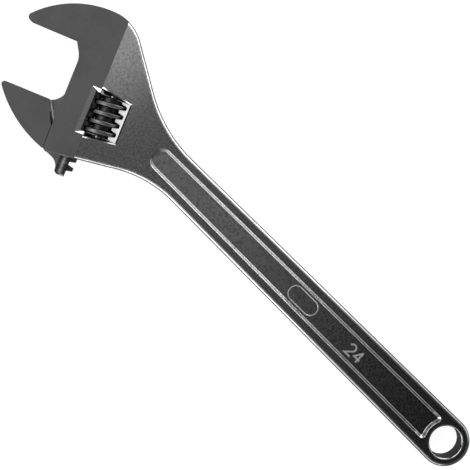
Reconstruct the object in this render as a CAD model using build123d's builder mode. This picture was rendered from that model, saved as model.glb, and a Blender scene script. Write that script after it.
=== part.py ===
from build123d import *
import os
from math import atan, cos, degrees, floor, pi, radians, sin, sqrt, tan

# Adjustable wrench with a forged body, a sliding jaw on a round toothed rail,
# a thumb worm, the screw pin the worm turns on, and the spring that takes up its play.
# Millimetres. The origin is the centre of the hang hole, at mid thickness.
# +X runs along the handle to the head, +Y to the sliding jaw, +Z up through the flat faces.

# Head frame: u runs out along the jaw faces, v is the way the jaw opens,
# and (0, 0) is where the fixed jaw's face plane meets the guide wall.
HEAD_X = 536.6
HEAD_Y = -27.5
HEAD_ANGLE = 22.5
HEAD_THICKNESS = 27.0
GROUND_LIMIT = 31.0

# Fixed jaw and neck outline
FACE_ROOT = 8.4
THROAT_RISE = 14.0
THROAT_BEND = 20.0
NOSE_REACH = 62.8
NOSE_ROUND = 4.0
HOOK_RADIUS = 95.0
FOOT_U = -38.0
FOOT_V = -35.2
FOOT_ROUND = 41.0
HEEL_V = 110.5
HEEL_CUT = 3.0
NECK_FLARE = 30.4
NECK_ROUND_FIXED = 137.0
NECK_ROUND_SLIDING = 115.0
NECK_FALL = 60.5

# Handle
HANDLE_THICKNESS = 20.0
HANDLE_END_RADIUS = 26.0
HANDLE_TAPER = 0.67
EDGE_ROUND = 4.5
GROUND_STOCK = 1.6
HANG_WALL = 9.5
HANG_ROUND = 2.4
PANEL_DEPTH = 2.8
PANEL_WALL = 2.6
PANEL_ROUND = 0.9
PANEL_TAIL_GAP = 5.7
PANEL_RIM_TAIL = 11.1
PANEL_RIM_HEAD = 9.7
PANEL_SETBACK = 120.2
PANEL_END_FLAT = 3.0
PANEL_TAIL_ROUND = 4.0

# Raised marks in the panel on the upper face
MARK_HEIGHT = 0.6
MARK_DRAFT = 35.0
BADGE_X = 208.1
BADGE_LENGTH = 37.8
BADGE_WIDTH = 18.0
BADGE_BORDER = 1.6
SIZE_X = 132.7
SIZE_Y = 1.0
SIZE_HEIGHT = 12.2
SIZE_WIDTH = 7.5
SIZE_GAP = 3.0
SIZE_STROKE = 1.7
TWO_HOOK = 160.0
TWO_SWEEP = 195.0
FOUR_STEM = 0.72
FOUR_BAR = 0.2

# Sliding jaw
JAW_OPENING = 62.0
CLOSED_GAP = 0.3
JAW_INNER = 12.5
JAW_SHOULDER = 23.0
JAW_SHORT = 1.3
JAW_HEEL_DROP = 46.0
JAW_BACK_RADIUS = 116.0
JAW_NOSE_ROUND = 3.0
WEB_THICKNESS = 12.0
WEB_EDGE = -0.4
WEB_RISE = 18.0
LIP_RADIUS = 16.7
LIP_SINK = 0.8
LIP_RISE = 12.2
LIP_GAP = 0.6
SHOULDER_ROUND = 4.0
WEB_TAIL_FLAT = 0.8
GUIDE_GAP = 0.8
WEB_GAP = 0.3

# Rail and rack
RAIL_RADIUS = 8.2
RAIL_U = -26.0
RAIL_TOP = 37.5
RAIL_DROP = 18.5
RAIL_CHAMFER = 2.0
RAIL_GAP = 0.2
RAIL_END_ROOM = 2.0

# Worm
WORM_PITCH = 9.3
WORM_ROOT_RADIUS = 9.8
THREAD_DEPTH = 6.2
THREAD_CREST = 3.2
THREAD_ROOT = 5.4
THREAD_ROUND = 0.7
THREAD_TURNS = 6
THREAD_SINK = 0.5
WORM_V = 57.8
WORM_PHASE = -1.0
MESH_GAP = 0.3
FLANK_GAP = 0.42
WORM_END_GAP = 0.3
WORM_END_CHAMFER = 5.6

# Window that holds the worm, with the relief beside it
WINDOW_LENGTH = 40.0
WINDOW_TAPER = 8.7
WINDOW_SPREAD = 2.8
WINDOW_STRAIGHT = 8.0
WINDOW_HANDLE_U = -62.2
WINDOW_CHAMFER = 1.2
BAY_U = -26.5
BAY_LENGTH = 40.6
RELIEF_WIDTH = 9.2
RELIEF_LENGTH = 47.0
RELIEF_ANGLE = 25.0
RELIEF_END_ANGLE = 45.0

# Screw pin and take-up spring
PIN_RADIUS = 4.0
PIN_GAP = 0.1
PIN_SOCKET = 15.0
PIN_END_ROOM = 0.5
SCREW_RADIUS = 5.5
SCREW_LENGTH = 17.0
SCREW_GAP = 0.05
SCREW_SET = 2.0
SCREW_SLOT = 1.4
SCREW_SLOT_DEPTH = 1.8
SPRING_WIRE = 1.4
SPRING_RADIUS = 5.6
SPRING_TURNS = 4
SPRING_PITCH = 3.2
SPRING_GAP = 0.1
SPRING_ROOM = 0.6
SPRING_STEPS = 48

# How near a place counts as the same, when edges and faces are picked
NEAR = 0.01

# Places worked out from the sizes above
HALF_HEAD = HEAD_THICKNESS / 2
HALF_HANDLE = HANDLE_THICKNESS / 2
HEAD = Plane(
    origin=(HEAD_X, HEAD_Y, 0),
    x_dir=(cos(radians(HEAD_ANGLE)), sin(radians(HEAD_ANGLE)), 0),
    z_dir=(0, 0, 1),
)
OPENING_WAY = HEAD.y_dir
GROUND_PLANE = Plane(
    origin=HEAD.from_local_coords((-GROUND_LIMIT, 0, 0)),
    x_dir=OPENING_WAY,
    z_dir=HEAD.x_dir,
)
ACROSS = 2 * (HEAD_X + HEAD_THICKNESS)


def head_point(u, v):
    """Wrench-frame X, Y of a point given in the head frame."""
    point = HEAD.from_local_coords((u, v, 0))
    return (point.X, point.Y)


def line_meet(p, p_angle, q, q_angle):
    """Crossing of two lines, each given by a point and an angle in degrees."""
    px, py = cos(radians(p_angle)), sin(radians(p_angle))
    qx, qy = cos(radians(q_angle)), sin(radians(q_angle))
    run = ((q[0] - p[0]) * qy - (q[1] - p[1]) * qx) / (px * qy - py * qx)
    return (p[0] + run * px, p[1] + run * py)


# Corners of the body's outline
NOSE = head_point(NOSE_REACH, 0)
FOOT = head_point(FOOT_U, FOOT_V)
ROOT = head_point(FACE_ROOT, 0)
JAW_REACH = NOSE_REACH - JAW_SHORT
BEND = head_point(0, THROAT_RISE)
HEEL = head_point(0, HEEL_V)
HEEL_SLOPE = tan(radians(NECK_FLARE - HEAD_ANGLE))
HEEL_INNER = head_point(0, HEEL_V - HEEL_CUT)
HEEL_OUTER = head_point(-HEEL_CUT, HEEL_V - HEEL_CUT * HEEL_SLOPE)
TAIL_X = HANDLE_END_RADIUS * sin(radians(HANDLE_TAPER))
TAIL_Y = HANDLE_END_RADIUS * cos(radians(HANDLE_TAPER))
NECK_FIXED = line_meet((TAIL_X, -TAIL_Y), HANDLE_TAPER, FOOT, -NECK_FLARE)
NECK_SLIDING = line_meet((TAIL_X, TAIL_Y), -HANDLE_TAPER, HEEL, NECK_FLARE)

HANG_RADIUS = HANDLE_END_RADIUS - HANG_WALL
PANEL_TAIL_RADIUS = HANG_RADIUS + PANEL_TAIL_GAP
PANEL_TAIL_Y = HANDLE_END_RADIUS - PANEL_RIM_TAIL
PANEL_TAIL_X = sqrt(PANEL_TAIL_RADIUS**2 - PANEL_TAIL_Y**2)
PANEL_HEAD_X = HEAD_X - PANEL_SETBACK
PANEL_HEAD_Y = TAIL_Y - PANEL_HEAD_X * tan(radians(HANDLE_TAPER)) - PANEL_RIM_HEAD
PANEL_END_ROUND = PANEL_HEAD_Y - PANEL_END_FLAT / 2
PANEL_FLOOR = HALF_HANDLE - PANEL_DEPTH
PANEL_SLOPE = degrees(atan(PANEL_WALL / PANEL_DEPTH))


def body_outline():
    """The whole outline of the body, drawn in the wrench frame."""
    with BuildSketch() as outline:
        with BuildLine():
            ThreePointArc((TAIL_X, TAIL_Y), (-HANDLE_END_RADIUS, 0), (TAIL_X, -TAIL_Y))
            Polyline((TAIL_X, -TAIL_Y), NECK_FIXED, FOOT)
            RadiusArc(FOOT, NOSE, -HOOK_RADIUS)
            Polyline(NOSE, ROOT, BEND, HEEL_INNER, HEEL_OUTER, NECK_SLIDING, (TAIL_X, TAIL_Y))
        make_face()
        for corner, radius in (
            (NOSE, NOSE_ROUND),
            (FOOT, FOOT_ROUND),
            (BEND, THROAT_BEND),
            (NECK_FIXED, NECK_ROUND_FIXED),
            (NECK_SLIDING, NECK_ROUND_SLIDING),
        ):
            near = outline.vertices().sort_by_distance((corner[0], corner[1], 0))[0]
            fillet(near, radius)
    return outline.sketch


# Places along the jaw's travel, in the head frame
CLOSED_SHIFT = CLOSED_GAP - JAW_OPENING
RAIL_BORE_TOP = RAIL_TOP + CLOSED_SHIFT - RAIL_END_ROOM
JAW_HEEL_V = JAW_OPENING + JAW_HEEL_DROP
RAIL_BOTTOM = JAW_HEEL_V + RAIL_DROP
WEB_TOP_V = JAW_OPENING - WEB_RISE
LIP_FACE_V = JAW_OPENING + LIP_SINK
LIP_EDGE_V = JAW_OPENING - LIP_RISE
BEYOND_HEEL = HEEL_V + HEAD_THICKNESS

# Worm and rack places
WORM_RADIUS = WORM_ROOT_RADIUS + THREAD_DEPTH
WORM_U = RAIL_U - RAIL_RADIUS - MESH_GAP - WORM_ROOT_RADIUS
WORM_HALF = WINDOW_LENGTH / 2 - WORM_END_GAP
WINDOW_JAW_U = -GROUND_LIMIT
WINDOW_SLOPE = tan(radians(WINDOW_TAPER))
MESH_RADIUS = WORM_ROOT_RADIUS + THREAD_DEPTH / 2
TOOTH_LEAN = WORM_PITCH / (2 * pi * MESH_RADIUS)
WORM_PLANE = Plane(
    origin=HEAD.from_local_coords((WORM_U, WORM_V, 0)),
    x_dir=HEAD.x_dir,
    z_dir=OPENING_WAY,
)
EDGE_V = HEEL_V + WORM_U * HEEL_SLOPE
SCREW_END = EDGE_V - SCREW_SET - WORM_V
SCREW_START = SCREW_END - SCREW_LENGTH
PIN_TIP = -WINDOW_LENGTH / 2 - PIN_SOCKET
SPRING_OUTER = SPRING_RADIUS + SPRING_WIRE / 2
SPRING_LENGTH = SPRING_TURNS * SPRING_PITCH + SPRING_WIRE
SPRING_END = WINDOW_LENGTH / 2 - SPRING_GAP
SPRING_START = SPRING_END - SPRING_LENGTH


def thread_half_width(radius):
    """Half the worm thread's width along the axis, at a radius from the worm's axis."""
    climb = (radius - WORM_ROOT_RADIUS) / THREAD_DEPTH
    return (THREAD_ROOT + (THREAD_CREST - THREAD_ROOT) * climb) / 2


def lip_arc(shift, gap):
    """Curved upper edge of the jaw's web beside its face, moved along the travel and set off by a gap."""
    face = (JAW_INNER + gap, LIP_FACE_V + shift - gap)
    edge = (WEB_EDGE + gap, LIP_EDGE_V + shift - gap)
    return RadiusArc(face, edge, -LIP_RADIUS)


def on_panel_floor(edge):
    """True for the edges round the floor of a handle panel."""
    level = abs((edge @ 0).Z - (edge @ 1).Z) < NEAR
    return level and abs(abs((edge @ 0.5).Z) - PANEL_FLOOR) < NEAR


def on_panel_brim(edge):
    """True for the edges where a handle panel's walls meet the handle's faces."""
    middle = edge @ 0.5
    inside = abs(middle.Y) < PANEL_TAIL_Y + NEAR
    return inside and abs(abs(middle.Z) - HALF_HANDLE) < NEAR and middle.X > HANG_RADIUS


def on_window_brim(edge):
    """True for the worm window's edges on the neck's faces, on the three sides away from the jaw."""
    middle = HEAD.to_local_coords(edge @ 0.5)
    in_length = abs(middle.Y - WORM_V) < WINDOW_LENGTH
    in_width = WINDOW_HANDLE_U - NEAR < middle.X < WINDOW_JAW_U - NEAR
    return in_length and in_width and abs(middle.Z) > HALF_HANDLE


# Head block: the fixed jaw, the throat and the guide wall, forged with a little stock,
# rounded along the heel, then ground flat on both faces
with BuildPart() as head_block:
    with BuildSketch():
        add(body_outline())
        split(bisect_by=GROUND_PLANE, keep=Keep.TOP)
    extrude(amount=HALF_HEAD + GROUND_STOCK, both=True)
    heel_place = HEAD.from_local_coords((-GROUND_LIMIT / 2, HEEL_V, 0))
    heel_wall = head_block.faces().sort_by_distance(heel_place)[0]
    heel_rim = heel_wall.edges().filter_by(lambda edge: abs(edge.center().Z) > HALF_HANDLE)
    fillet(heel_rim, EDGE_ROUND)
    split(bisect_by=Plane.XY.offset(HALF_HEAD), keep=Keep.BOTTOM)
    split(bisect_by=Plane.XY.offset(-HALF_HEAD), keep=Keep.TOP)

# What the recessed panels take out of the two faces of the handle, with sloping walls
with BuildPart() as panel_cut:
    panel_plane = Plane.XY.offset(HALF_HANDLE).rotated((180, 0, 0))
    with BuildSketch(panel_plane) as panel:
        with BuildLine():
            Polyline(
                (PANEL_TAIL_X, PANEL_TAIL_Y),
                (PANEL_HEAD_X, PANEL_HEAD_Y),
                (PANEL_HEAD_X, -PANEL_HEAD_Y),
                (PANEL_TAIL_X, -PANEL_TAIL_Y),
            )
            ThreePointArc(
                (PANEL_TAIL_X, -PANEL_TAIL_Y),
                (PANEL_TAIL_RADIUS, 0),
                (PANEL_TAIL_X, PANEL_TAIL_Y),
            )
        make_face()
        fillet(panel.vertices().group_by(Axis.X)[-1], PANEL_END_ROUND)
        fillet(panel.vertices().group_by(Axis.X)[0], PANEL_TAIL_ROUND)
    extrude(amount=PANEL_DEPTH, taper=PANEL_SLOPE)
    extrude(panel.sketch, amount=HALF_HEAD - HALF_HANDLE, dir=-panel_plane.z_dir)
    mirror(about=Plane.XY)

# What the relief takes out of both ground faces: a wedge that deepens towards the window, with sloping ends
with BuildPart() as relief_cut:
    relief_edge = WINDOW_JAW_U + RELIEF_WIDTH
    relief_run = relief_edge - WORM_U
    with BuildSketch(Plane(origin=HEAD.origin, x_dir=HEAD.x_dir, z_dir=-OPENING_WAY)):
        with BuildLine():
            Polyline(
                (relief_edge, HALF_HEAD),
                (WORM_U, HALF_HEAD - relief_run * tan(radians(RELIEF_ANGLE))),
                (WORM_U, HALF_HEAD),
                close=True,
            )
        make_face()
    extrude(amount=ACROSS, both=True)
    end_place = HEAD.from_local_coords((WORM_U, WORM_V, HALF_HEAD))
    with BuildSketch(Plane(origin=end_place, x_dir=OPENING_WAY, z_dir=HEAD.x_dir)):
        end_run = HALF_HEAD * tan(radians(RELIEF_END_ANGLE))
        with BuildLine():
            Polyline(
                (-RELIEF_LENGTH / 2, 0),
                (RELIEF_LENGTH / 2, 0),
                (RELIEF_LENGTH / 2 - end_run, -HALF_HEAD),
                (end_run - RELIEF_LENGTH / 2, -HALF_HEAD),
                close=True,
            )
        make_face()
    extrude(amount=ACROSS, both=True, mode=Mode.INTERSECT)
    mirror(about=Plane.XY)

# What the worm window takes out: square at mid thickness, with ends that lean out to a tapered opening
with BuildPart() as window_cut:
    for level, spread, slope in ((0, 0, 0), (WINDOW_STRAIGHT, WINDOW_SPREAD, WINDOW_SLOPE)):
        jaw_half = WINDOW_LENGTH / 2 + spread + (WINDOW_JAW_U - WORM_U) * slope
        handle_half = WINDOW_LENGTH / 2 + spread + (WINDOW_HANDLE_U - WORM_U) * slope
        with BuildSketch(HEAD.offset(level)) as window_outline:
            with BuildLine():
                Polyline(
                    (WINDOW_JAW_U, WORM_V + jaw_half),
                    (WINDOW_HANDLE_U, WORM_V + handle_half),
                    (WINDOW_HANDLE_U, WORM_V - handle_half),
                    (WINDOW_JAW_U, WORM_V - jaw_half),
                    close=True,
                )
            make_face()
    loft()
    extrude(window_outline.sketch, amount=HEAD_THICKNESS)
    mirror(about=Plane.XY)

# Body: forged shank and handle, fused with the head block
with BuildPart() as wrench_body:
    with BuildSketch():
        add(body_outline())
        split(bisect_by=GROUND_PLANE, keep=Keep.BOTTOM)
    extrude(amount=HALF_HEAD, both=True)

    # The neck's faces fall from the head's thickness to the handle's
    with BuildSketch(Plane(origin=HEAD.origin, x_dir=HEAD.x_dir, z_dir=-OPENING_WAY)):
        with BuildLine():
            fall_end = (-GROUND_LIMIT - NECK_FALL, HALF_HANDLE)
            fall_start = (-GROUND_LIMIT, HALF_HEAD)
            TangentArc(fall_end, fall_start, tangent=(1, 0))
            Polyline(
                fall_start,
                (-GROUND_LIMIT, HEAD_THICKNESS),
                (-ACROSS, HEAD_THICKNESS),
                (-ACROSS, HALF_HANDLE),
                fall_end,
            )
        make_face()
        mirror(about=Plane.XZ)
    extrude(amount=ACROSS, both=True, mode=Mode.SUBTRACT)

    # Rounded forging edges all round the shank
    outer_walls = wrench_body.faces().filter_by(
        lambda wall: abs(wall.normal_at().Z) < NEAR
        and abs(GROUND_PLANE.to_local_coords(wall.center()).Z) > NEAR
    )
    rim = outer_walls.edges().filter_by(lambda edge: abs((edge @ 0.5).Z) > HALF_HANDLE - NEAR)
    fillet(rim, EDGE_ROUND)

    # Recessed panels of the handle
    add(panel_cut.part, mode=Mode.SUBTRACT)
    fillet(wrench_body.edges().filter_by(on_panel_floor), PANEL_ROUND)
    fillet(wrench_body.edges().filter_by(on_panel_brim), PANEL_ROUND)

    # Raised blank badge and size number on the floor of the upper panel
    with BuildSketch(Plane(origin=(BADGE_X, 0, PANEL_FLOOR), x_dir=(-1, 0, 0), z_dir=(0, 0, 1))):
        SlotOverall(BADGE_LENGTH, BADGE_WIDTH)
        SlotOverall(BADGE_LENGTH - 2 * BADGE_BORDER, BADGE_WIDTH - 2 * BADGE_BORDER, mode=Mode.SUBTRACT)
    extrude(amount=MARK_HEIGHT, taper=MARK_DRAFT)
    with BuildSketch(Plane(origin=(SIZE_X, SIZE_Y, PANEL_FLOOR), x_dir=(-1, 0, 0), z_dir=(0, 0, 1))):
        bowl = SIZE_WIDTH / 2
        with BuildLine():
            two_left = -SIZE_GAP / 2 - SIZE_WIDTH
            bowl_centre = (two_left + bowl, SIZE_HEIGHT / 2 - bowl)
            hook = CenterArc(bowl_centre, bowl, TWO_HOOK, -TWO_SWEEP)
            Polyline(hook @ 1, (two_left, -SIZE_HEIGHT / 2), (two_left + SIZE_WIDTH, -SIZE_HEIGHT / 2))
        trace(line_width=SIZE_STROKE)
        with BuildLine():
            four_left = SIZE_GAP / 2
            stem = four_left + SIZE_WIDTH * FOUR_STEM
            Line((stem, -SIZE_HEIGHT / 2), (stem, SIZE_HEIGHT / 2))
        trace(line_width=SIZE_STROKE)
        with BuildLine():
            bar = -SIZE_HEIGHT * FOUR_BAR
            Polyline((stem, SIZE_HEIGHT / 2), (four_left, bar), (four_left + SIZE_WIDTH, bar))
        trace(line_width=SIZE_STROKE)
    extrude(amount=MARK_HEIGHT)

    # Hang hole
    with Locations((0, 0, 0)):
        Hole(HANG_RADIUS)
    mouths = wrench_body.edges().filter_by(GeomType.CIRCLE)
    fillet(mouths.filter_by(lambda edge: abs(edge.radius - HANG_RADIUS) < NEAR), HANG_ROUND)

    # Worm window through the neck, then the head block that closes it on the jaw side
    add(window_cut.part, mode=Mode.SUBTRACT)
    window_edges = wrench_body.edges().filter_by(on_window_brim)
    chamfer(window_edges, WINDOW_CHAMFER)
    add(head_block.part)

    # Relief beside the window
    add(relief_cut.part, mode=Mode.SUBTRACT)

    # Bay that carries the window on to the middle of the rail, where the thread meets the rack
    with BuildSketch(HEAD):
        with Locations((BAY_U, WORM_V)):
            Rectangle(BAY_U - WORM_U, BAY_LENGTH, align=(Align.MAX, Align.CENTER))
    extrude(amount=HEAD_THICKNESS, both=True, mode=Mode.SUBTRACT)

    # Blind bore for the rail, open at the heel
    with BuildSketch(Plane(HEAD.from_local_coords((RAIL_U, RAIL_BORE_TOP, 0)), HEAD.x_dir, OPENING_WAY)):
        Circle(RAIL_RADIUS + RAIL_GAP)
    extrude(amount=BEYOND_HEEL - RAIL_BORE_TOP, mode=Mode.SUBTRACT)

    # Slot for the jaw's web, through the guide wall and into the fixed jaw's root
    with BuildSketch(HEAD):
        with BuildLine():
            lip = lip_arc(CLOSED_SHIFT, LIP_GAP)
            slot_top = WEB_TOP_V + CLOSED_SHIFT - RAIL_END_ROOM
            Polyline(
                lip @ 1,
                (WEB_EDGE + LIP_GAP, slot_top),
                (RAIL_U, slot_top),
                (RAIL_U, BEYOND_HEEL),
                (JAW_INNER + LIP_GAP, BEYOND_HEEL),
                lip @ 0,
            )
        make_face()
    extrude(amount=WEB_THICKNESS / 2 + WEB_GAP, both=True, mode=Mode.SUBTRACT)

    # Bore for the screw pin: a blind socket above the window, a threaded mouth at the heel edge
    with BuildSketch(WORM_PLANE.offset(PIN_TIP)):
        Circle(PIN_RADIUS + PIN_GAP)
    extrude(amount=SCREW_END - PIN_TIP, mode=Mode.SUBTRACT)
    with BuildSketch(WORM_PLANE.offset(SCREW_START)):
        Circle(SCREW_RADIUS + SCREW_GAP)
    extrude(amount=BEYOND_HEEL, mode=Mode.SUBTRACT)
wrench_body.part.label = "wrench_body"

# Rounding between the jaw's shoulder and its web, cut off along the guide wall
with BuildPart() as shoulder_round:
    shoulder_low = HEAD.from_local_coords((GUIDE_GAP, JAW_OPENING + JAW_SHOULDER, WEB_THICKNESS / 2))
    shoulder_high = HEAD.from_local_coords((JAW_INNER, JAW_OPENING, WEB_THICKNESS / 2))
    shoulder_way = (shoulder_high - shoulder_low).normalized()
    with BuildSketch(Plane(origin=shoulder_low, x_dir=HEAD.z_dir.cross(shoulder_way), z_dir=shoulder_way)):
        with BuildLine():
            hollow = CenterArc((-SHOULDER_ROUND, SHOULDER_ROUND), SHOULDER_ROUND, -90, 90)
            Polyline(hollow @ 1, (SHOULDER_ROUND, SHOULDER_ROUND), (SHOULDER_ROUND, 0), hollow @ 0)
        make_face()
    extrude(amount=ACROSS, both=True)
    with BuildSketch(HEAD):
        with BuildLine():
            lip = lip_arc(0, 0)
            Polyline(
                lip @ 1,
                (GUIDE_GAP, JAW_OPENING + JAW_SHOULDER),
                (JAW_INNER, JAW_OPENING + JAW_SHOULDER),
                lip @ 0,
            )
        make_face()
    extrude(amount=HALF_HEAD, mode=Mode.INTERSECT)
    guide_plane = Plane(HEAD.from_local_coords((GUIDE_GAP, 0, 0)), OPENING_WAY, HEAD.x_dir)
    split(bisect_by=guide_plane, keep=Keep.TOP)
    mirror(about=Plane.XY)

# Sliding jaw with its web, its round rail and the rack cut in the rail
with BuildPart() as movable_jaw:
    with BuildSketch(HEAD) as jaw_outline:
        with BuildLine():
            Polyline(
                (GUIDE_GAP, JAW_HEEL_V),
                (GUIDE_GAP, JAW_OPENING + JAW_SHOULDER),
                (JAW_INNER, JAW_OPENING),
                (JAW_REACH, JAW_OPENING),
            )
            RadiusArc((JAW_REACH, JAW_OPENING), (GUIDE_GAP, JAW_HEEL_V), -JAW_BACK_RADIUS)
        make_face()
        fillet(jaw_outline.vertices().sort_by(Axis.X)[-1], JAW_NOSE_ROUND)
    extrude(amount=HALF_HEAD, both=True)

    # Thin web from the jaw through the guide wall to the rail
    with BuildSketch(HEAD) as web_outline:
        rail_side = RAIL_U + RAIL_RADIUS
        web_bottom_v = RAIL_BOTTOM - RAIL_CHAMFER
        web_tail_v = JAW_HEEL_V + (GUIDE_GAP - rail_side) * tan(radians(HEAD_ANGLE))
        tail_run = web_bottom_v - WEB_TAIL_FLAT - web_tail_v
        tail_round = tail_run * tan(radians(45 + HEAD_ANGLE / 2))
        with BuildLine():
            lip = lip_arc(0, 0)
            Polyline(
                lip @ 1,
                (WEB_EDGE, WEB_TOP_V),
                (RAIL_U, WEB_TOP_V),
                (RAIL_U, web_bottom_v),
                (rail_side, web_bottom_v),
                (rail_side, web_tail_v),
                (GUIDE_GAP, JAW_HEEL_V),
                (JAW_INNER, JAW_OPENING + JAW_SHOULDER),
                lip @ 0,
            )
        make_face()
        fillet(web_outline.vertices().sort_by_distance((rail_side, web_tail_v, 0))[0], tail_round)
    extrude(amount=WEB_THICKNESS / 2, both=True)
    add(shoulder_round.part)

    # Rail, with chamfered ends
    with BuildSketch(HEAD):
        with BuildLine():
            Polyline(
                (RAIL_U, RAIL_TOP),
                (RAIL_U + RAIL_RADIUS - RAIL_CHAMFER, RAIL_TOP),
                (RAIL_U + RAIL_RADIUS, RAIL_TOP + RAIL_CHAMFER),
                (RAIL_U + RAIL_RADIUS, RAIL_BOTTOM - RAIL_CHAMFER),
                (RAIL_U + RAIL_RADIUS - RAIL_CHAMFER, RAIL_BOTTOM),
                (RAIL_U, RAIL_BOTTOM),
                close=True,
            )
        make_face()
    revolve(axis=Axis(HEAD.from_local_coords((RAIL_U, RAIL_TOP, 0)), OPENING_WAY))

    # Rack: grooves that lean with the worm's thread, and a bare end below the last tooth
    groove_root = WORM_RADIUS + MESH_GAP
    groove_mouth = WORM_ROOT_RADIUS - MESH_GAP
    root_half = thread_half_width(groove_root) + FLANK_GAP
    mouth_half = thread_half_width(groove_mouth) + FLANK_GAP
    first_groove = floor((RAIL_TOP - WORM_V - WORM_PHASE) / WORM_PITCH) + 1
    last_groove = floor((RAIL_BOTTOM - WORM_V - WORM_PHASE) / WORM_PITCH)
    for step in range(first_groove, last_groove + 1):
        groove_v = WORM_V + WORM_PHASE + step * WORM_PITCH
        groove_plane = Plane(
            origin=HEAD.from_local_coords((WORM_U, groove_v, 0)),
            x_dir=HEAD.x_dir,
            z_dir=HEAD.z_dir - OPENING_WAY * TOOTH_LEAN,
        )
        with BuildSketch(groove_plane):
            with BuildLine():
                Polyline(
                    (groove_mouth, -mouth_half),
                    (groove_root, -root_half),
                    (groove_root, root_half),
                    (groove_mouth, mouth_half),
                    close=True,
                )
            make_face()
        extrude(amount=HEAD_THICKNESS, both=True, mode=Mode.SUBTRACT)
    with BuildSketch(groove_plane):
        with Locations((groove_root, 0)):
            Rectangle(groove_root - groove_mouth, WORM_PITCH, align=(Align.MAX, Align.MIN))
    extrude(amount=HEAD_THICKNESS, both=True, mode=Mode.SUBTRACT)
movable_jaw.part.label = "movable_jaw"

# Worm, made on its own axis: Z along the way the jaw opens, X towards the rail
with BuildPart() as worm_on_axis:
    thread_start = WORM_PHASE - THREAD_TURNS / 2 * WORM_PITCH
    with BuildLine() as thread_path:
        Helix(WORM_PITCH, THREAD_TURNS * WORM_PITCH, WORM_ROOT_RADIUS, center=(0, 0, thread_start))
    with BuildSketch(Plane(thread_path.line @ 0, (1, 0, 0), thread_path.line % 0)) as thread_form:
        with BuildLine():
            Polyline(
                (-THREAD_SINK, -thread_half_width(WORM_ROOT_RADIUS - THREAD_SINK)),
                (THREAD_DEPTH, -THREAD_CREST / 2),
                (THREAD_DEPTH, THREAD_CREST / 2),
                (-THREAD_SINK, thread_half_width(WORM_ROOT_RADIUS - THREAD_SINK)),
                close=True,
            )
        make_face()
        fillet(thread_form.vertices().group_by(Axis.X)[-1], THREAD_ROUND)
    sweep(path=thread_path.line, is_frenet=True)
    with BuildSketch(Plane.XZ):
        collar = WORM_ROOT_RADIUS + WORM_END_CHAMFER
        crest_half = WORM_HALF - (WORM_RADIUS - collar)
        with BuildLine():
            Polyline(
                (0, -WORM_HALF),
                (collar, -WORM_HALF),
                (WORM_RADIUS + MESH_GAP, -crest_half),
                (WORM_RADIUS + MESH_GAP, crest_half),
                (collar, WORM_HALF),
                (0, WORM_HALF),
                close=True,
            )
        make_face()
    revolve(axis=Axis.Z, mode=Mode.INTERSECT)
    Cylinder(WORM_ROOT_RADIUS, 2 * WORM_HALF)
    Cylinder(PIN_RADIUS + PIN_GAP, WINDOW_LENGTH, mode=Mode.SUBTRACT)
    with BuildSketch(Plane.XY.offset(SPRING_START - SPRING_GAP)):
        Circle(SPRING_OUTER + SPRING_ROOM)
    extrude(amount=WINDOW_LENGTH, mode=Mode.SUBTRACT)

with BuildPart(WORM_PLANE) as adjusting_worm:
    add(worm_on_axis.part)
adjusting_worm.part.label = "adjusting_worm"

# Screw pin: a smooth shank the worm turns on, and a slotted screw end
with BuildPart(WORM_PLANE) as worm_pin:
    with BuildSketch(WORM_PLANE.offset(PIN_TIP + PIN_END_ROOM)):
        Circle(PIN_RADIUS)
    extrude(amount=SCREW_START - PIN_TIP)
    with BuildSketch(WORM_PLANE.offset(SCREW_START + PIN_END_ROOM)):
        Circle(SCREW_RADIUS)
    extrude(amount=SCREW_LENGTH - PIN_END_ROOM)
    with BuildSketch(WORM_PLANE.offset(SCREW_END)):
        Rectangle(SCREW_SLOT, 2 * SCREW_RADIUS)
    extrude(amount=-SCREW_SLOT_DEPTH, mode=Mode.SUBTRACT)
worm_pin.part.label = "worm_pin"


def spring_point(turn):
    """A point on the spring's centre line, counted in turns from its start."""
    angle = 2 * pi * turn
    climb = SPRING_START + SPRING_WIRE / 2 + SPRING_PITCH * turn
    return Vector(SPRING_RADIUS * cos(angle), SPRING_RADIUS * sin(angle), climb)


def spring_way(turn):
    """The direction of the spring's centre line at that turn."""
    angle = 2 * pi * turn
    rise = SPRING_PITCH / (2 * pi * SPRING_RADIUS)
    return Vector(-sin(angle), cos(angle), rise).normalized()


# Take-up spring, one unbroken tube round the pin, in the worm's counterbore
with BuildPart() as spring_on_axis:
    with BuildLine() as spring_path:
        for quarter in range(4 * SPRING_TURNS):
            start, end = spring_point(quarter / 4), spring_point((quarter + 1) / 4)
            start_way, end_way = spring_way(quarter / 4), spring_way((quarter + 1) / 4)
            # Two arcs that meet half way, each leaving its end along the helix
            ways, gap = start_way + end_way, end - start
            square = 4 - ways.dot(ways)
            reach = (sqrt(gap.dot(ways) ** 2 + square * gap.dot(gap)) - gap.dot(ways)) / square
            near, far = start + start_way * reach, end - end_way * reach
            joint = (near + far) * 0.5
            TangentArc(start, joint, tangent=start_way)
            TangentArc(joint, end, tangent=far - near)
    with BuildSketch(Plane(spring_path.line @ 0, (1, 0, 0), spring_path.line % 0)):
        Circle(SPRING_WIRE / 2)
    sweep(path=spring_path.line)

with BuildPart(WORM_PLANE) as worm_spring:
    add(spring_on_axis.part)
worm_spring.part.label = "worm_spring"
turn_gap = min(
    (spring_point(step / SPRING_STEPS) - spring_point(other / SPRING_STEPS)).length - SPRING_WIRE
    for step in range(SPRING_STEPS * SPRING_TURNS + 1)
    for other in range(step + SPRING_STEPS // 2, SPRING_STEPS * SPRING_TURNS + 1)
)
print(f"spring: least gap between turns {turn_gap:.2f} mm")

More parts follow.
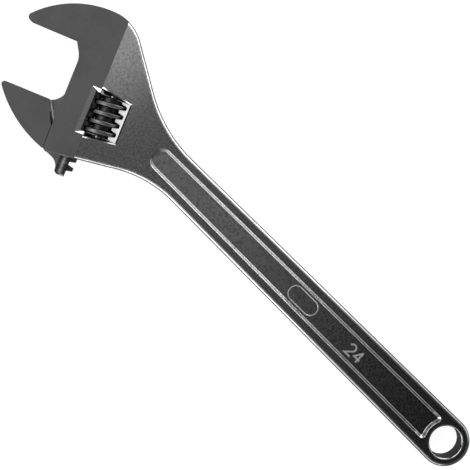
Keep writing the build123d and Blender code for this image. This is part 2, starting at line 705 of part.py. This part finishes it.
os.makedirs("parts", exist_ok=True)
export_step(wrench_body.part, "parts/wrench_body.step")
export_step(movable_jaw.part, "parts/movable_jaw.step")
export_step(adjusting_worm.part, "parts/adjusting_worm.step")
export_step(worm_pin.part, "parts/worm_pin.step")
export_step(worm_spring.part, "parts/worm_spring.step")
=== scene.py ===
import math

import bpy
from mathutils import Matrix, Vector


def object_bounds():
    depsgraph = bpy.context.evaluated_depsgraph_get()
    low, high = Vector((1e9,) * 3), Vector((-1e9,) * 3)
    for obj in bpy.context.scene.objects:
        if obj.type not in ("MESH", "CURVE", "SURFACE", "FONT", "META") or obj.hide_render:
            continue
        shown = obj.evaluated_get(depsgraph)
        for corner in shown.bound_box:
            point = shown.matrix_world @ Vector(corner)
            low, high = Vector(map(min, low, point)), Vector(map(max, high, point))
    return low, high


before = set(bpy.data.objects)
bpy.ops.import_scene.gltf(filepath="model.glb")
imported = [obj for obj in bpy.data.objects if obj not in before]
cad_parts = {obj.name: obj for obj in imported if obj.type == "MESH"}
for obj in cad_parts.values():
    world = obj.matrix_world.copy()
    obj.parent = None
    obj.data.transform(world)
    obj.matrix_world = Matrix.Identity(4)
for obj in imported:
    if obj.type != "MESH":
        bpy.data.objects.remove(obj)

cad_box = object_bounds()


# Body: one drop forging of chrome vanadium steel, with the handle, the neck and the fixed jaw.
# The forging is shot-blasted and satin plated. The head is then ground flat on both faces,
# and the panels of the handle keep the coarser skin that the die left.
HEAD_PLACE = Vector((0.5366, -0.0275, 0.0))
HEAD_TURN = math.radians(22.5)
OUTWARD = Vector((math.cos(HEAD_TURN), math.sin(HEAD_TURN), 0.0))
OPENING = Vector((-math.sin(HEAD_TURN), math.cos(HEAD_TURN), 0.0))
GROUND_LIMIT = -0.031
PANEL_FLOOR = 0.0072
PANEL_LIP = 0.0014
MARK_FOOT = 0.00035
FLASH_WIDTH = 0.0016
WINDOW_OUT = -0.046
WINDOW_ACROSS = 0.0578
WINDOW_MIDDLE = HEAD_PLACE + WINDOW_OUT * OUTWARD + WINDOW_ACROSS * OPENING
WINDOW_REACH = 0.037
LEVEL_SPAN = (0.86, 0.97)
HANDLE_SPAN = (-0.45, -0.16)
TAIL_SPAN = (-0.28, -0.52)
NECK_SPAN = (-0.115, -0.03)
NECK_WIDTH = (0.095, -0.03)
EDGE_RADIUS = 0.0007
SKIN_RELIEF = 0.00004
SKIN_GREY = (0.53, 0.53, 0.535, 1)
GROUND_GREY = (0.60, 0.60, 0.60, 1)
PANEL_GREY = (0.50, 0.50, 0.505, 1)
WORN_GREY = (0.80, 0.80, 0.79, 1)
GRIME_GREY = (0.20, 0.20, 0.20, 1)
TAIL_PAINTED_SHADE_GREY = (0.10, 0.10, 0.10, 1)
WALL_PAINTED_SHADE_BLACK = (0.03, 0.03, 0.03, 1)
PLAIN_GRIME = 0.15
SMUDGE_GRIME = 0.15
GROUND_BLOTCH = 0.03
GROUND_ROUGH = 0.2
WORN_ROUGH = 0.2
MILLED_ROUGH = 0.34
MARK_ROUGH = 0.58
BLAST_ROUGH = 0.44
MARK_SHINE = 0.9
MILLED_SHINE = 0.7
TAIL_PAINTED_SHADE_AMOUNT = 0.38


def put(tree, kind, inputs, **settings):
    """Adds a node to a tree, makes its settings, and sets or links its inputs."""
    node = tree.nodes.new("ShaderNode" + kind)
    for name, value in settings.items():
        setattr(node, name, value)
    for socket, value in inputs.items():
        if isinstance(value, bpy.types.NodeSocket):
            tree.links.new(value, node.inputs[socket])
        else:
            node.inputs[socket].default_value = value
    return node


def maths(tree, operation, *values):
    """What a Math node makes of these values."""
    return put(tree, "Math", dict(enumerate(values)), operation=operation).outputs[0]


def product(tree, *values):
    """Masks and amounts multiplied together."""
    result = values[0]
    for value in values[1:]:
        result = maths(tree, "MULTIPLY", result, value)
    return result


def ease(tree, value, low, high, start=0.0, end=1.0):
    """A value carried smoothly from one range into another."""
    spans = {"Value": value, "From Min": low, "From Max": high, "To Min": start, "To Max": end}
    return put(tree, "MapRange", spans, interpolation_type="SMOOTHSTEP").outputs[0]


def past(tree, value, limit, blur):
    """A mask of where a value is past a limit."""
    return ease(tree, value, limit - blur, limit + blur)


def short_of(tree, value, limit, blur):
    """A mask of where a value is short of a limit."""
    return ease(tree, value, limit + blur, limit - blur)


def blend(tree, amount, first, second):
    """A colour between two others."""
    mixed = put(tree, "Mix", {"Factor": amount, "A": first, "B": second}, data_type="RGBA")
    return mixed.outputs["Result"]


def between(tree, amount, first, second):
    """A number between two others."""
    return put(tree, "Mix", {0: amount, 2: first, 3: second}, data_type="FLOAT").outputs[0]


def object_place(tree):
    """Where a point is on a piece, however the piece moves."""
    return put(tree, "TexCoord", {}).outputs["Object"]


def arrow_from(tree, start, place):
    """The arrow from one place to another."""
    return put(tree, "VectorMath", {0: place, 1: start}, operation="SUBTRACT").outputs[0]


def along(tree, arrow, way):
    """How far an arrow goes in a direction."""
    return put(tree, "VectorMath", {0: arrow, 1: way}, operation="DOT_PRODUCT").outputs["Value"]


def distance(tree, place, other):
    """How far one place is from another."""
    return put(tree, "VectorMath", {0: place, 1: other}, operation="DISTANCE").outputs["Value"]


def noise(tree, place, scale, detail=2.0):
    """Grey noise at a scale per metre, from 0 to 1."""
    return put(tree, "TexNoise", {"Vector": place, "Scale": scale, "Detail": detail}).outputs[0]


def swing(tree, value):
    """Grey noise spread out on both sides of zero, from -1 to 1."""
    return ease(tree, value, 0.3, 0.7, -1.0, 1.0)


def stretched(tree, place, way, factor):
    """The place scaled along one direction: under 1 draws noise out along it, over 1 across it."""
    added = product(tree, along(tree, place, way), factor - 1)
    shift = put(tree, "VectorMath", {0: way, "Scale": added}, operation="SCALE").outputs[0]
    return put(tree, "VectorMath", {0: place, 1: shift}, operation="ADD").outputs[0]


def new_group(name, outputs):
    """An empty node group with these number outputs, and its output node."""
    tree = bpy.data.node_groups.new(name, "ShaderNodeTree")
    for output in outputs:
        tree.interface.new_socket(output, in_out="OUTPUT", socket_type="NodeSocketFloat")
    return tree, tree.nodes.new("NodeGroupOutput")


def use_group(tree, group):
    """What a group puts out in a tree."""
    node = tree.nodes.new("ShaderNodeGroup")
    node.node_tree = group
    return node.outputs


def grime(tree, marks, coarse):
    """How much grime there is, from broad smudges and from blotches as coarse as this."""
    smudges = product(tree, marks["Smudge"], SMUDGE_GRIME)
    blotches = product(tree, marks["Blotch"], coarse)
    return maths(tree, "ADD", PLAIN_GRIME, maths(tree, "ADD", smudges, blotches))


def new_steel(name):
    """A bare metal material, its tree and its shader."""
    material = bpy.data.materials.new(name)
    material.use_nodes = True
    shader = material.node_tree.nodes["Principled BSDF"]
    shader.inputs["Metallic"].default_value = 1.0
    return material, material.node_tree, shader


def finish_steel(node, material, shader, colour, roughness, height, depth):
    """Links a steel's colour, roughness and bump, and gives it to a node of the frame."""
    tree = material.node_tree
    tree.links.new(colour, shader.inputs["Base Color"])
    tree.links.new(roughness, shader.inputs["Roughness"])
    bump = put(tree, "Bump", {"Distance": depth, "Height": height})
    tree.links.new(bump.outputs["Normal"], shader.inputs["Normal"])
    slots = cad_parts[node].data.materials
    slots.clear()
    slots.append(material)


# Where a point is on the wrench: out along the jaws, across them and its height, and how far it
# faces up and out
places, end = new_group("wrench_places", ("Out", "Across", "Height", "Up", "Facing"))
coordinates = put(places, "TexCoord", {}).outputs
from_head = arrow_from(places, HEAD_PLACE, coordinates["Object"])
place_height = put(places, "SeparateXYZ", {0: coordinates["Object"]}).outputs["Z"]
facing_height = put(places, "SeparateXYZ", {0: coordinates["Normal"]}).outputs["Z"]
places.links.new(along(places, from_head, OUTWARD), end.inputs["Out"])
places.links.new(along(places, from_head, OPENING), end.inputs["Across"])
places.links.new(maths(places, "ABSOLUTE", place_height), end.inputs["Height"])
places.links.new(maths(places, "ABSOLUTE", facing_height), end.inputs["Up"])
places.links.new(along(places, coordinates["Normal"], OUTWARD), end.inputs["Facing"])

# Sharp edges, where handling has rubbed the plating bright in patches
wear, end = new_group("worn_edges", ("Wear",))
rounded = put(wear, "Bevel", {"Radius": EDGE_RADIUS}, samples=4).outputs[0]
true_normal = put(wear, "NewGeometry", {}).outputs["Normal"]
edge = ease(wear, along(wear, rounded, true_normal), 0.995, 0.92)
patches = noise(wear, object_place(wear), scale=90.0, detail=4.0)
wear.links.new(product(wear, edge, ease(wear, patches, 0.3, 0.6, 0.35, 1.0)), end.inputs["Wear"])

# Shot-blasted skin: pits about half a millimetre across, blotches of two, and broad handling marks
skin, end = new_group("blasted_skin", ("Pits", "Blotch", "Smudge"))
skin_place = object_place(skin)
fine = noise(skin, skin_place, scale=1500.0)
broad = noise(skin, skin_place, scale=520.0)
pits = product(skin, maths(skin, "ADD", fine, broad), 0.5)
blotches = noise(skin, skin_place, scale=480.0, detail=3.0)
smudges = noise(skin, skin_place, scale=28.0, detail=5.0)
skin.links.new(swing(skin, pits), end.inputs["Pits"])
skin.links.new(swing(skin, blotches), end.inputs["Blotch"])
skin.links.new(swing(skin, smudges), end.inputs["Smudge"])

# Ground faces: fine and broad lines left by the belt, which runs along the wrench
lines, end = new_group("belt_lines", ("Lines",))
lines_place = stretched(lines, object_place(lines), Vector((1, 0, 0)), factor=0.03)
fine = product(lines, noise(lines, lines_place, scale=2600.0, detail=3.0), 0.6)
broad = product(lines, noise(lines, lines_place, scale=420.0), 0.4)
lines.links.new(swing(lines, maths(lines, "ADD", fine, broad)), end.inputs["Lines"])

body_steel, tree, shader = new_steel("plated_forging")
at = use_group(tree, places)
worn = use_group(tree, wear)["Wear"]
marks = use_group(tree, skin)
belt = use_group(tree, lines)["Lines"]

# Surfaces of the forging: the ground head, the panels and the raised marks in them, the trimmed
# flash, the blasted neck, and the milled window with painted shade on its wall next to the handle
level = ease(tree, at["Up"], *LEVEL_SPAN)
in_head = past(tree, at["Out"], GROUND_LIMIT, blur=0.0002)
ground = product(tree, level, in_head)
sunk = short_of(tree, at["Height"], PANEL_FLOOR + PANEL_LIP, blur=0.0004)
in_panel = product(tree, level, sunk)
above_floor = past(tree, at["Height"], PANEL_FLOOR + MARK_FOOT, blur=0.00015)
on_mark = product(tree, in_panel, above_floor)
upright = ease(tree, at["Up"], 0.3, 0.15)
flash = product(tree, upright, ease(tree, at["Height"], FLASH_WIDTH, FLASH_WIDTH * 0.7))
toward_head = ease(tree, at["Out"], *HANDLE_SPAN)
toward_tail = ease(tree, at["Out"], *TAIL_SPAN)
on_neck = ease(tree, at["Out"], *NECK_SPAN)
blasted = product(tree, on_neck, ease(tree, at["Across"], *NECK_WIDTH, start=0.2), level)
from_window = distance(tree, object_place(tree), WINDOW_MIDDLE)
near_window = short_of(tree, from_window, WINDOW_REACH, blur=0.001)
milled = product(tree, near_window, maths(tree, "SUBTRACT", 1.0, level))
# Painted shade mask: the milled walls near the window that face out towards the jaws
wall_painted_shade = product(tree, milled, ease(tree, at["Facing"], 0.3, 0.5))
rubbed = product(tree, worn, between(tree, in_head, 0.5, 0.12))

# Colour: grime in blotches, coarse on the skin and fine on ground faces and walls
coarse = between(tree, in_panel, between(tree, blasted, 0.28, 0.40), 0.48)
coarse = between(tree, level, 0.08, between(tree, ground, coarse, GROUND_BLOTCH))
colour = blend(tree, in_panel, SKIN_GREY, PANEL_GREY)
colour = blend(tree, ground, colour, GROUND_GREY)
colour = blend(tree, grime(tree, marks, coarse), colour, GRIME_GREY)
bright = maths(tree, "MAXIMUM", rubbed, product(tree, on_mark, MARK_SHINE))
colour = blend(tree, bright, colour, WORN_GREY)
# Painted shade: the colour darkens towards the tail
colour = blend(tree, product(tree, toward_tail, TAIL_PAINTED_SHADE_AMOUNT), colour, TAIL_PAINTED_SHADE_GREY)
colour = blend(tree, product(tree, milled, MILLED_SHINE), colour, WORN_GREY)
# Painted shade: those walls are painted near black
colour = blend(tree, wall_painted_shade, colour, WALL_PAINTED_SHADE_BLACK)

# Roughness: smoother towards the tail, and roughest on the blasted neck
skin_rough = between(tree, toward_head, 0.10, 0.23)
skin_rough = maths(tree, "ADD", skin_rough, product(tree, blasted, BLAST_ROUGH))
roughness = between(tree, in_panel, skin_rough, between(tree, toward_head, 0.12, 0.37))
roughness = between(tree, ground, roughness, GROUND_ROUGH)
roughness = between(tree, rubbed, roughness, WORN_ROUGH)
roughness = between(tree, milled, roughness, MILLED_ROUGH)
roughness = between(tree, on_mark, roughness, MARK_ROUGH)
roughness = maths(tree, "ADD", roughness, product(tree, marks["Smudge"], 0.02))

height = product(tree, marks["Pits"], between(tree, level, 0.25, 1.0))
height = between(tree, ground, height, product(tree, belt, 0.25))
height = maths(tree, "ADD", height, product(tree, flash, 0.5))
finish_steel("wrench_body", body_steel, shader, colour, roughness, height, SKIN_RELIEF)


# Jaw: a second forging, ground flat on both faces like the head, with its rail turned round.
# Its web slides in the head's slot, and the worm moves it by the teeth cut across the rail.
JAW_GROUND_HEIGHT = 0.0125
RAIL_OUT = -0.01775
SHOULDER_OUT = 0.0062
RAIL_DARK = (0.08, 0.08, 0.082, 1)
RAIL_LIGHT = (0.22, 0.22, 0.22, 1)
JAW_ROUGH = 0.3
SHOULDER_ROUGH = 0.13
SHOULDER_PAINTED_SHADE = 0.7
RAIL_ROUGH = 0.32
jaw_steel, tree, shader = new_steel("plated_jaw")
at = use_group(tree, places)
worn = use_group(tree, wear)["Wear"]
marks = use_group(tree, skin)
belt = use_group(tree, lines)["Lines"]
high = past(tree, at["Height"], JAW_GROUND_HEIGHT, blur=0.0005)
ground = product(tree, ease(tree, at["Up"], 0.9, 0.98), high)
rail = short_of(tree, at["Out"], RAIL_OUT, blur=0.00025)
level = ease(tree, at["Up"], *LEVEL_SPAN)
off_guide = maths(tree, "SUBTRACT", 1.0, maths(tree, "MAXIMUM", level, rail))
shoulder = product(tree, short_of(tree, at["Out"], SHOULDER_OUT, blur=0.0002), off_guide)
ring_place = stretched(tree, object_place(tree), OPENING, factor=30.0)
rings = swing(tree, noise(tree, ring_place, scale=60.0))
colour = blend(tree, ground, SKIN_GREY, GROUND_GREY)
colour = blend(tree, grime(tree, marks, GROUND_BLOTCH), colour, GRIME_GREY)
colour = blend(tree, product(tree, worn, 0.15), colour, WORN_GREY)
turned = blend(tree, ease(tree, rings, -1.0, 1.0), RAIL_DARK, RAIL_LIGHT)
colour = blend(tree, rail, colour, turned)
# Painted shade: the jaw's walls by its shoulder are painted nearly as dark as the rail
colour = blend(tree, product(tree, shoulder, SHOULDER_PAINTED_SHADE), colour, RAIL_DARK)
roughness = between(tree, shoulder, JAW_ROUGH, SHOULDER_ROUGH)
roughness = between(tree, ground, roughness, GROUND_ROUGH)
roughness = between(tree, rail, roughness, RAIL_ROUGH)
roughness = maths(tree, "ADD", roughness, product(tree, marks["Smudge"], 0.03))
height = between(tree, ground, product(tree, marks["Pits"], 0.6), product(tree, belt, 0.25))
height = between(tree, rail, height, product(tree, rings, 0.4))
finish_steel("movable_jaw", jaw_steel, shader, colour, roughness, height, SKIN_RELIEF)


# Worm: a steel screw with a wide thread, turned on a lathe and blacked. Its roots are painted
# darker than its crests, as painted shade in the grooves.
# It turns on the pin in the head's window, and its thread runs in the rail's teeth.
WORM_OUT = -0.0443
WORM_PLACE = HEAD_PLACE + WORM_OUT * OUTWARD + WINDOW_ACROSS * OPENING
WORM_RADIUS = 0.0160
CREST_DEPTH = 0.0008
TURNED_RELIEF = 0.00001
ROOT_PAINTED_SHADE_BLACK = (0.07, 0.07, 0.072, 1)
CREST_DARK = (0.13, 0.13, 0.13, 1)
CREST_LIGHT = (0.30, 0.30, 0.30, 1)
worm_steel, tree, shader = new_steel("turned_worm")
worn = use_group(tree, wear)["Wear"]
worm_place = object_place(tree)
from_middle = arrow_from(tree, WORM_PLACE, worm_place)
axis_shift = {0: OPENING, "Scale": along(tree, from_middle, OPENING)}
on_axis = put(tree, "VectorMath", axis_shift, operation="SCALE").outputs[0]
from_axis = distance(tree, from_middle, on_axis)
crest = past(tree, from_axis, WORM_RADIUS - CREST_DEPTH, blur=0.0004)
ring_place = stretched(tree, worm_place, OPENING, factor=40.0)
rings = swing(tree, noise(tree, ring_place, scale=70.0, detail=3.0))
rubs = noise(tree, worm_place, scale=160.0, detail=4.0)
streaked = blend(tree, ease(tree, rings, -0.6, 0.8), CREST_DARK, CREST_LIGHT)
# Painted shade: the thread's roots are near black
colour = blend(tree, crest, ROOT_PAINTED_SHADE_BLACK, streaked)
colour = blend(tree, product(tree, worn, ease(tree, rubs, 0.35, 0.65, 0.0, 0.3)), colour, WORN_GREY)
roughness = ease(tree, rubs, 0.3, 0.7, 0.38, 0.50)
finish_steel("adjusting_worm", worm_steel, shader, colour, roughness, rings, TURNED_RELIEF)


# Pin: a slotted steel screw, turned on a lathe, that the worm turns on.
# It goes in from the heel edge, through the worm, into a blind socket.
PIN_GREY = (0.45, 0.45, 0.455, 1)
pin_steel, tree, shader = new_steel("turned_pin")
worn = use_group(tree, wear)["Wear"]
ring_place = stretched(tree, object_place(tree), OPENING, factor=40.0)
rings = noise(tree, ring_place, scale=80.0)
colour = blend(tree, product(tree, worn, 0.8), PIN_GREY, WORN_GREY)
roughness = ease(tree, rings, 0.3, 0.7, 0.26, 0.36)
finish_steel("worm_pin", pin_steel, shader, colour, roughness, rings, TURNED_RELIEF)


# Spring: drawn steel wire, wound round the pin in the worm's counterbore.
# It presses the worm to one end of the window, to take up the worm's play.
WIRE_GREY = (0.34, 0.34, 0.345, 1)
BLUED_GREY = (0.24, 0.25, 0.28, 1)
WIRE_RELIEF = 0.000005
spring_steel, tree, shader = new_steel("drawn_wire")
streaks = noise(tree, object_place(tree), scale=900.0, detail=3.0)
colour = blend(tree, ease(tree, streaks, 0.35, 0.65), WIRE_GREY, BLUED_GREY)
roughness = ease(tree, streaks, 0.3, 0.7, 0.28, 0.42)
finish_steel("worm_spring", spring_steel, shader, colour, roughness, streaks, WIRE_RELIEF)


# Studio: a pale floor, a white light tent with a dim top, a long soft box on each side, and a
# camera above the head that looks at the middle of the handle.
FLOOR_SPAN = 12.0
FLOOR_GLOW = 0.92
GAP_REACH = 0.06
BOX_LENGTH = 0.75
BOX_HEIGHT = 0.30
BOX_MIDDLE = 0.39
BOX_AWAY = 0.75
BOX_POWER = 2.0
RING_LIGHT = 3.3
FILL_LIGHT = 0.2
CAMERA_PLACE = (0.46532, 0.00074, 1.18320)
CAMERA_TURN = (-5.5721, -5.5382, -134.9270)
CAMERA_LENS = 92.29
SENSOR_WIDTH = 36.0

floor_place = (CAMERA_PLACE[0], CAMERA_PLACE[1], cad_box[0].z)
bpy.ops.mesh.primitive_plane_add(size=FLOOR_SPAN, location=floor_place)
floor = bpy.context.object
floor.name = "floor"
floor_paint = bpy.data.materials.new("pale_floor")
floor_paint.use_nodes = True
tree = floor_paint.node_tree
shader = tree.nodes["Principled BSDF"]
shader.inputs["Roughness"].default_value = 0.9
shader.inputs["Specular IOR Level"].default_value = 0.0
shader.inputs["Base Color"].default_value = (0.25, 0.25, 0.25, 1)
shader.inputs["Emission Strength"].default_value = FLOOR_GLOW
# The floor glows white for the camera alone and is dark grey in reflections. The glow is taken away
# where the floor lies deep under narrow gaps: painted shade there.
seen = put(tree, "LightPath", {}).outputs["Is Camera Ray"]
open_sky = put(tree, "AmbientOcclusion", {"Distance": GAP_REACH}, samples=32).outputs["AO"]
glowing = product(tree, seen, ease(tree, open_sky, 0.008, 0.04))
tree.links.new(blend(tree, glowing, (0, 0, 0, 1), (1, 1, 1, 1)), shader.inputs["Emission Color"])
floor.data.materials.append(floor_paint)

for side, turn in ((-1, 90), (1, -90)):
    lamp = bpy.data.lights.new("soft_box", "AREA")
    lamp.shape = "RECTANGLE"
    lamp.size = BOX_LENGTH
    lamp.size_y = BOX_HEIGHT
    lamp.energy = BOX_POWER
    soft_box = bpy.data.objects.new("soft_box", lamp)
    soft_box.location = (BOX_MIDDLE, side * BOX_AWAY, cad_box[0].z + BOX_HEIGHT / 2)
    soft_box.rotation_euler = (math.radians(turn), 0.0, 0.0)
    bpy.context.scene.collection.objects.link(soft_box)

tent = bpy.data.worlds.new("light_tent")
bpy.context.scene.world = tent
tent.use_nodes = True
tree = tent.node_tree
way = put(tree, "SeparateXYZ", {0: put(tree, "TexCoord", {}).outputs["Generated"]}).outputs

# The top of the tent is dim. It darkens towards the tail, and is lighter again beyond it.
tailward = maths(tree, "MAXIMUM", product(tree, way["X"], -0.5), 0.0)
top = ease(tree, maths(tree, "ADD", way["Z"], tailward), 0.72, 0.86)
tail_end = ease(tree, way["X"], -0.5, -0.7, 0.0, 0.2)
dim = maths(tree, "ADD", ease(tree, way["X"], -0.37, -0.06, 0.003, 0.155), tail_end)

# Its sides are bright, and wrap round low down to the tail. Its two ends are dark.
sideways = ease(tree, maths(tree, "ABSOLUTE", way["Y"]), 0.3, 0.5)
low = product(tree, sideways, ease(tree, way["Z"], 0.5, 0.3))
wrapped = product(tree, low, ease(tree, way["X"], -0.92, -0.72))
wrapped = maths(tree, "MAXIMUM", wrapped, ease(tree, way["X"], -0.47, -0.05, 0.03, 1.0))
headward = maths(tree, "SUBTRACT", way["X"], product(tree, way["Z"], 0.5))
bright = product(tree, wrapped, ease(tree, headward, 0.88, 0.4, 0.02, 1.0))

# The sides are weaker at the head's corners and higher up, with a little fill all along them
corner = product(tree, sideways, ease(tree, way["X"], 0.40, 0.62, 0.0, 0.8))
raised = product(tree, sideways, ease(tree, way["Z"], 0.10, 0.22, 0.0, 0.6))
open_corner = maths(tree, "SUBTRACT", 1.0, corner)
ring = product(tree, bright, open_corner, maths(tree, "SUBTRACT", 1.0, raised), RING_LIGHT)
fill = product(tree, sideways, FILL_LIGHT)
light = maths(tree, "MAXIMUM", between(tree, top, ring, dim), fill)
tree.links.new(light, tree.nodes["Background"].inputs["Color"])

camera_data = bpy.data.cameras.new("camera")
camera_data.lens = CAMERA_LENS
camera_data.sensor_width = SENSOR_WIDTH
camera = bpy.data.objects.new("camera", camera_data)
camera.location = CAMERA_PLACE
camera.rotation_euler = [math.radians(angle) for angle in CAMERA_TURN]
bpy.context.scene.collection.objects.link(camera)
bpy.context.scene.camera = camera
bpy.context.scene.view_settings.view_transform = "Standard"
